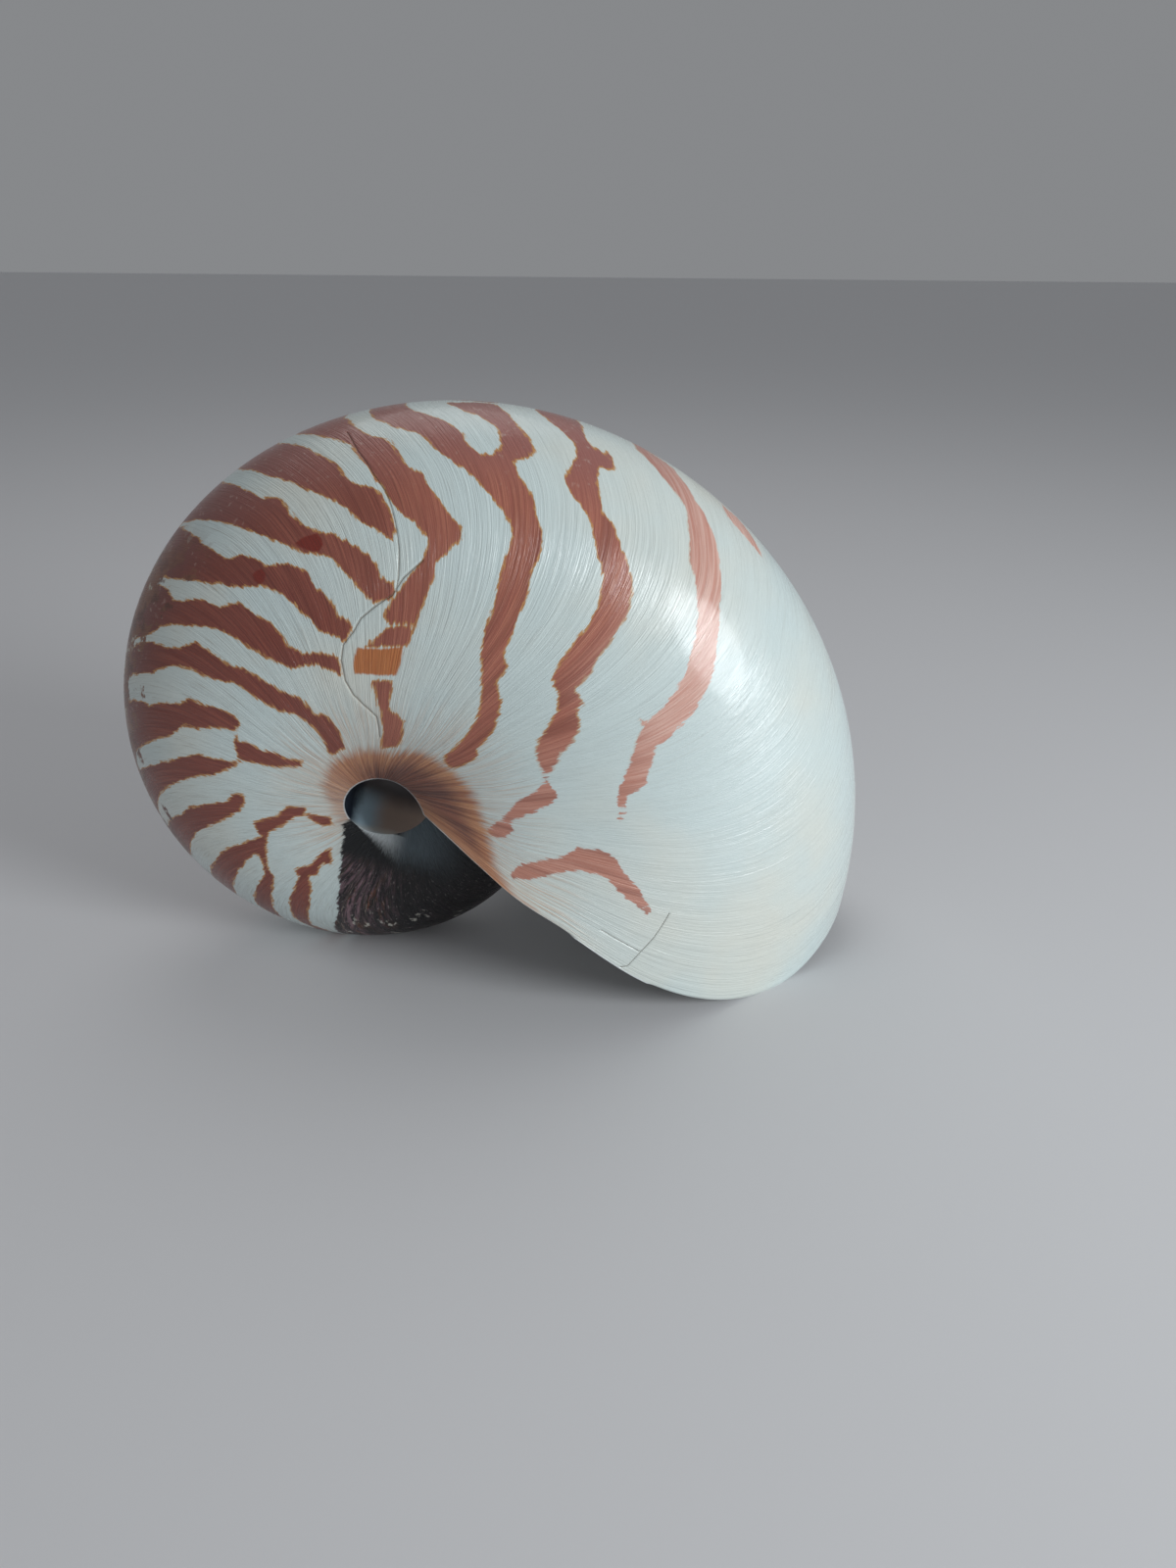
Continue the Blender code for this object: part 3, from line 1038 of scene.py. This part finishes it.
def ridge_highlight_and_shadow(recipe, place, ridge, colour):
    """The pearly wedge that fans out under the ridge, lightened with a painted highlight that dims to a
    painted blue-grey sheen further along, and the film darkened with painted shadow beside it.
    """
    along, under, apart = recipe.parts(ridge)
    beside = recipe.step(apart, *BESIDE_KEEL)
    shadow = recipe.product(recipe.step(under, 9.0, 5.0), beside)
    colour = recipe.mix(shadow, colour, FILM_SHADOW)
    reach = recipe.product(recipe.total(along, 0.3), 0.58)
    reach = recipe.calc("MAXIMUM", recipe.calc("MINIMUM", reach, 6.0), 0.05)
    brush = recipe.streaks(place, across=1.4, along=24.0, detail=5.0, roughness=0.75)
    depth = recipe.total(recipe.calc("DIVIDE", under, reach), recipe.product(brush, 1.6))
    # Painted highlight where the light catches the crest under the ridge
    wedge_highlight = recipe.product(
        recipe.step(depth, 2.0, 1.0),
        beside,
        recipe.calc("MAXIMUM", recipe.step(under, -0.4, 0.1), recipe.step(along, 8.0, 11.0)),
        recipe.step(along, -0.4, 0.4),
        recipe.step(along, 24.0, 12.0),
    )
    # Tone of the painted highlight, fading into a painted blue-grey sheen further along
    highlight_tone = recipe.mix(recipe.step(along, 5.0, 11.0), *WEDGE_HIGHLIGHT_GREYS)
    return recipe.mix(wedge_highlight, colour, highlight_tone)


def film_effect():
    """The dark film: streaks of black, brown and mauve, pale flecks, and a pearly wedge under the ridge with
    a painted highlight and painted shadow beside it.
    """
    tree, recipe, given, end = new_effect(
        "film streaks",
        {"Place": "Vector", "Ridge": "Vector", "Film Edge": "Float"},
        {"Colour": "Color", "Height": "Float", "Roughness": "Float"},
    )
    place = given["Place"]
    streak = recipe.streaks(place, across=0.6, along=9.0, detail=7.0, roughness=0.78)
    colour = film_streaks(recipe, place, given["Film Edge"], streak)
    recipe.feed(end.inputs["Colour"], ridge_highlight_and_shadow(recipe, place, given["Ridge"], colour))
    recipe.feed(end.inputs["Height"], streak)
    recipe.feed(end.inputs["Roughness"], recipe.step(streak, 0.3, 0.7, 0.34, 0.5))
    return tree


def film_on(recipe, film, place):
    ridge = recipe.read("ridge", "Vector")
    return recipe.group(film, Place=place, Ridge=ridge, Film_Edge=recipe.read("film_edge"))


def new_material(name):
    made = bpy.data.materials.new(name)
    made.use_nodes = True
    return made, made.node_tree.nodes["Principled BSDF"]


class Outside(Recipe):
    """The layers of the outer surface, from the ground up. Each later one takes the colour under it."""

    def __init__(self, tree, growth_lines):
        super().__init__(tree)
        self.place = self.read("place", "Vector")
        self.striae = self.group(growth_lines, Place=self.place)
        self.line, share, _ = self.parts(self.place)
        self.apart = self.calc("ABSOLUTE", share)
        teeth = self.streaks(self.place, across=1.2, along=30.0, detail=5.0, roughness=0.65)
        self.ragged = self.stray(teeth, 2.6)

    def lined(self, colours, start=0.35, end=0.7):
        return self.mix(self.step(self.striae["Fine"], start, end), *colours)

    def ground(self):
        """Cool and warm white, greyer on fine lines, with brownish rays in old growth and by the callus."""
        cloud = self.noise(self.where(), 26.0, 3.0)
        colour = self.mix(self.step(cloud, 0.4, 0.75), *WHITES)
        colour = self.mix(self.step(self.striae["Fine"], 0.5, 0.75, 0.0, 0.32), colour, GREY_LINE)
        thread = self.step(self.striae["Thread"], 0.58, 0.72, 0.0, 0.45)
        colour = self.mix(self.product(thread, self.step(self.line, *OLD_RAYS)), colour, OLD_RAY)
        near_callus = self.step(self.read("callus"), *HALO_REACH)
        halo = self.product(near_callus, self.step(self.striae["Fine"], 0.42, 0.66), 0.75)
        return self.mix(halo, colour, CALLUS_HALO)

    def brown(self, fresh, faded_and_highlit):
        """The flames' colour: lighter towards the lip, dusty on the keel, and salmon on the newest growth,
        partly faded colour and partly painted highlight.
        """
        newer = self.mix(fresh, self.lined(NEWER_BROWNS), self.lined(NEWEST_BROWNS))
        colour = self.mix(self.step(self.line, *OLDER), newer, self.lined(OLDER_BROWNS))
        colour = self.mix(self.step(self.striae["Broad"], 0.45, 0.65, 0.0, 0.45), colour, BROAD_BROWN)
        dust = self.step(self.noise(self.where(), 900.0, 2.0), 0.6, 0.75, 0.0, 0.5)
        veiled = self.mix(self.step(self.line, *OLDER_KEEL), *KEEL_BROWNS)
        dusty = self.mix(dust, veiled, KEEL_DUST)
        colour = self.mix(self.step(self.apart, *DUSTY_KEEL), colour, dusty)
        # Painted highlight together with real fading: pale salmon on the newest flames by the keel
        return self.mix(faded_and_highlit, colour, self.lined(FADED_AND_HIGHLIT_SALMONS))

    def flames(self, colour):
        """Ragged brown flames, with an ochre fringe where they are not fresh and not in the faded salmon
        with its painted highlight.
        """
        edge = self.total(self.read("flame_edge"), self.ragged)
        fresh = self.step(self.line, *FRESH)
        faded_and_highlit = self.product(self.step(self.line, *FADED_AND_HIGHLIT), self.step(self.apart, *FADED_AND_HIGHLIT_FLANK))
        plain = self.calc("SUBTRACT", 1.0, self.calc("MAXIMUM", faded_and_highlit, fresh))
        colour = self.mix(self.product(self.step(edge, *FRINGE_REACH), plain), colour, OCHRE_FRINGE)
        return self.mix(self.step(edge, *FLAME_INSIDE), colour, self.brown(fresh, faded_and_highlit))

    def keel_band(self, colour):
        """A mottled brown band with chalky flecks, along the keel of the oldest growth that shows."""
        blotch = self.streaks(self.place, across=0.16, along=16.0, detail=4.0, roughness=0.6)
        width = self.total(self.apart, self.stray(blotch, 0.5))
        inside = self.product(
            self.step(width, *BAND_WIDTH),
            self.step(self.line, *BAND_BEGINS),
            self.step(self.line, *BAND_ENDS),
        )
        mottle = self.noise(self.where(), 190.0, 3.0, 0.6)
        band = self.mix(self.step(mottle, 0.4, 0.55), *BAND_BROWNS)
        band = self.mix(self.step(mottle, 0.62, 0.66), band, BAND_CHALK)
        return self.mix(inside, colour, band)

    def scar(self, colour):
        edge = self.total(self.read("scar"), self.product(self.ragged, 0.5))
        colour = self.mix(self.step(edge, *SCAR_INSIDE), colour, self.lined(SCAR_AMBERS, 0.3, 0.7))
        return self.mix(self.step(self.read("spot"), *SPOT_INSIDE), colour, DARK_RUST)

    def callus(self, colour):
        """The tan callus, with rays along the growth lines, deeper in the middle of its newer part."""
        rays = self.streaks(self.place, across=0.5, along=1.6, detail=6.0, roughness=0.7)
        torn = self.streaks(self.place, across=0.6, along=12.0, detail=5.0, roughness=0.65)
        spread = self.total(self.read("callus"), self.stray(torn, 6.0))
        tan = self.mix(self.step(rays, 0.38, 0.6), *TANS)
        deep = self.mix(self.step(rays, 0.36, 0.6), *DEEP_TANS)
        deepening = self.product(self.step(spread, *CALLUS_DEEP), self.step(self.line, *CALLUS_DEEPENS))
        tan = self.mix(deepening, tan, deep)
        thickness = self.step(self.line, *CALLUS_THICKENS, 0.5, 0.95)
        return self.mix(self.product(self.step(spread, *CALLUS_INSIDE), thickness), colour, tan)


def porcelain(growth_lines, film):
    """The outside: cool white, with rust-brown flames edged in ochre, the tan callus and the healed scar."""
    made, shader = new_material("flamed porcelain")
    recipe = Outside(made.node_tree, growth_lines)
    colour = recipe.ground()
    for layer in (recipe.flames, recipe.keel_band, recipe.scar, recipe.callus):
        colour = layer(colour)
    crack = recipe.step(recipe.read("crack"), 1.0, 0.3)
    colour = recipe.mix(recipe.product(crack, 0.5), colour, CRACK_LINE)

    coat = film_on(recipe, film, recipe.place)
    threads = recipe.streaks(recipe.place, across=0.8, along=30.0, detail=5.0, roughness=0.7)
    frayed = recipe.stray(threads, 3.0)
    filmed = recipe.step(recipe.total(recipe.read("film_edge"), frayed), *FILM_INSIDE)
    bare = recipe.calc("SUBTRACT", 1.0, filmed)
    colour = recipe.mix(filmed, colour, coat["Colour"])
    rim = recipe.total(recipe.read("rim"), recipe.product(frayed, 0.25))
    worn = recipe.product(recipe.step(rim, *RIM_REACH, 0.0, 0.85), bare)
    colour = recipe.mix(worn, colour, WORN_RIM)

    relief = recipe.calc("SUBTRACT", recipe.striae["Height"], recipe.product(crack, 0.7))
    relief = recipe.total(relief, recipe.product(filmed, coat["Height"]))
    bump = recipe.add("Bump", {"Height": relief, "Strength": 0.75, "Distance": 0.0004})
    recipe.feed(shader.inputs["Base Color"], colour)
    recipe.feed(shader.inputs["Normal"], bump.outputs[0])
    recipe.feed(shader.inputs["Roughness"], recipe.step(recipe.striae["Broad"], 0.3, 0.7, 0.22, 0.34))
    recipe.feed(shader.inputs["Coat Weight"], recipe.product(bare, 0.25))
    shader.inputs["Coat Roughness"].default_value = 0.12
    shader.inputs["Specular IOR Level"].default_value = 0.55
    return made


def nacre(growth_lines, pearl):
    """The inside of the living chamber."""
    made, shader = new_material("nacre")
    recipe = Recipe(made.node_tree)
    place = recipe.read("place", "Vector")
    striae = recipe.group(growth_lines, Place=place)
    colour = recipe.group(pearl, Place=place, Depth_of_Tint=0.75)["Colour"]
    colour = recipe.mix(recipe.step(striae["Broad"], 0.4, 0.7, 0.0, 0.3), colour, NACRE_GREY)
    bump = recipe.add("Bump", {"Height": striae["Broad"], "Strength": 0.3, "Distance": 0.0002})
    recipe.feed(shader.inputs["Base Color"], colour)
    recipe.feed(shader.inputs["Normal"], bump.outputs[0])
    recipe.feed(shader.inputs["Roughness"], recipe.step(striae["Fine"], 0.3, 0.7, 0.16, 0.28))
    shader.inputs["Coat Weight"].default_value = 0.4
    return made


def dark_film(film, pearl):
    """The film that darkens the coil inside the mouth, thinning to nacre further in."""
    made, shader = new_material("dark film")
    recipe = Recipe(made.node_tree)
    place = recipe.read("place", "Vector")
    coat = film_on(recipe, film, place)
    pearly = recipe.group(pearl, Place=place, Depth_of_Tint=0.8)["Colour"]
    inside = recipe.total(recipe.parts(place)["X"], recipe.product(coat["Height"], 22.0))
    colour = recipe.mix(recipe.step(inside, *PEARL_SHOWS), coat["Colour"], pearly)
    bump = recipe.add("Bump", {"Height": coat["Height"], "Strength": 0.5, "Distance": 0.0003})
    recipe.feed(shader.inputs["Base Color"], colour)
    recipe.feed(shader.inputs["Normal"], bump.outputs[0])
    recipe.feed(shader.inputs["Roughness"], coat["Roughness"])
    return made


def hollow_glaze(film):
    """The smooth hollow behind the arch of the lip: black by the rim, then blue-grey and taupe.

    A pale ridge runs under it, its crest lightened with a painted highlight on the nacre, and the dark film
    lies below the ridge. The roof is darkened with painted shade. Numbers are millimetres.
    """
    made, shader = new_material("hollow glaze")
    recipe = Recipe(made.node_tree)
    coat = film_on(recipe, film, recipe.read("place", "Vector"))
    ridge = recipe.parts(recipe.read("ridge", "Vector"))
    cloud = recipe.noise(recipe.where(), 160.0, 6.0, 0.65)
    along = recipe.total(ridge["X"], recipe.stray(cloud, 3.0))
    under = recipe.total(ridge["Y"], recipe.stray(cloud, 2.0))
    colour = recipe.mix(recipe.step(along, 1.0, 6.0), *HOLLOW_GREYS)
    # Painted shade: the roof of the hollow darkened
    colour = recipe.mix(recipe.step(under, -4.0, -9.0), colour, HOLLOW_ROOF_SHADE)
    colour = recipe.mix(recipe.step(along, 0.4, -2.2), colour, HOLLOW_BLACK)
    # Painted highlight along the ridge's crest, on pale nacre
    colour = recipe.mix(recipe.step(under, -1.2, 0.4, 0.0, 0.7), colour, HOLLOW_RIDGE_HIGHLIGHT)
    colour = recipe.mix(recipe.step(ridge["Y"], -0.1, 0.5), colour, coat["Colour"])
    recipe.feed(shader.inputs["Base Color"], colour)
    shader.inputs["Roughness"].default_value = 0.42
    return made


def pale_floor():
    bpy.ops.object.select_all(action="DESELECT")
    bpy.ops.mesh.primitive_plane_add(size=FLOOR_SIDE)
    floor = bpy.context.object
    floor.name = "floor"
    made, shader = new_material("pale floor")
    shader.inputs["Base Color"].default_value = FLOOR_GREY
    shader.inputs["Roughness"].default_value = 0.6
    floor.data.materials.append(made)


def soft_light(name, place, size, watts, tone):
    data = bpy.data.lights.new(name, "AREA")
    data.shape = "DISK"
    data.size = size
    data.energy = watts
    data.color = tone
    light = bpy.data.objects.new(name, data)
    light.location = place
    light.rotation_euler = (LIGHT_AIM - Vector(place)).to_track_quat("-Z", "Y").to_euler()
    bpy.context.scene.collection.objects.link(light)


def studio():
    pale_floor()
    for name, (place, size, watts, tone) in LIGHTS.items():
        soft_light(name, place, size, watts, tone)
    world = bpy.data.worlds.new("pale room")
    world.use_nodes = True
    background = world.node_tree.nodes["Background"]
    background.inputs["Color"].default_value = ROOM_TONE
    background.inputs["Strength"].default_value = ROOM_STRENGTH
    bpy.context.scene.world = world
    bpy.context.scene.view_settings.view_transform = "Standard"


def nautilus_shell():
    growth_lines = growth_lines_effect()
    pearl = pearl_effect()
    film = film_effect()
    shell = last_whorl()
    tree = BVHTree.FromPolygons(
        [vertex.co for vertex in shell.data.vertices],
        [face.vertices for face in shell.data.polygons],
    )
    shell.data.materials.append(porcelain(growth_lines, film))
    open_cracks(shell, tree)
    cut(shell, living_chamber((nacre(growth_lines, pearl), dark_film(film, pearl))))
    cut(shell, umbilical_hollows(hollow_glaze(film)))
    cut(shell, resting_plane(shell.data.materials[0]))
    mark_surface(shell, tree)
    select_only(shell)
    bpy.ops.object.shade_smooth_by_angle(angle=SHARP)
    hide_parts("shell")
    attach(shell, "root")


photo_camera()
studio()
nautilus_shell()
